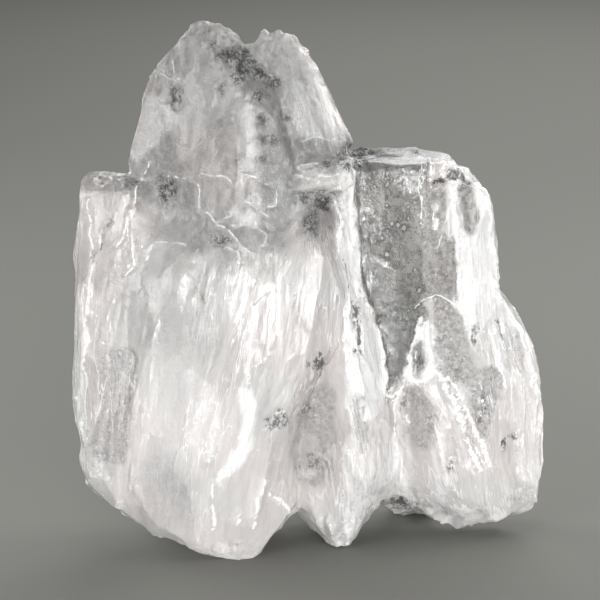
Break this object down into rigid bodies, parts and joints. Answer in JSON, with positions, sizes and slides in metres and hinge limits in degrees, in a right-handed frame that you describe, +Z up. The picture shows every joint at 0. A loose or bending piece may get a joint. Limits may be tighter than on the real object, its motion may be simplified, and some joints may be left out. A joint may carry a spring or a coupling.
{
  "type": "rock salt crystal specimen",
  "caption": "Upright hand specimen of clear to milky rock salt: fluted prisms grown into one mass, with cleaved ledges and a broken foot.",
  "frame": {"origin": "bottom centre of the specimen's box, on the surface it stands on", "axes": "+Z up along the prisms, +X to the right along the broad side, -Y to the front face"},
  "size_m": [0.0964, 0.0356, 0.106],
  "materials": {
    "milky_salt": "colourless to milky rock salt, cleaved, broken and partly dissolved"
  },
  "bodies": {
    "root": {"salt_crystal": "milky_salt"}
  },
  "joints": []
}
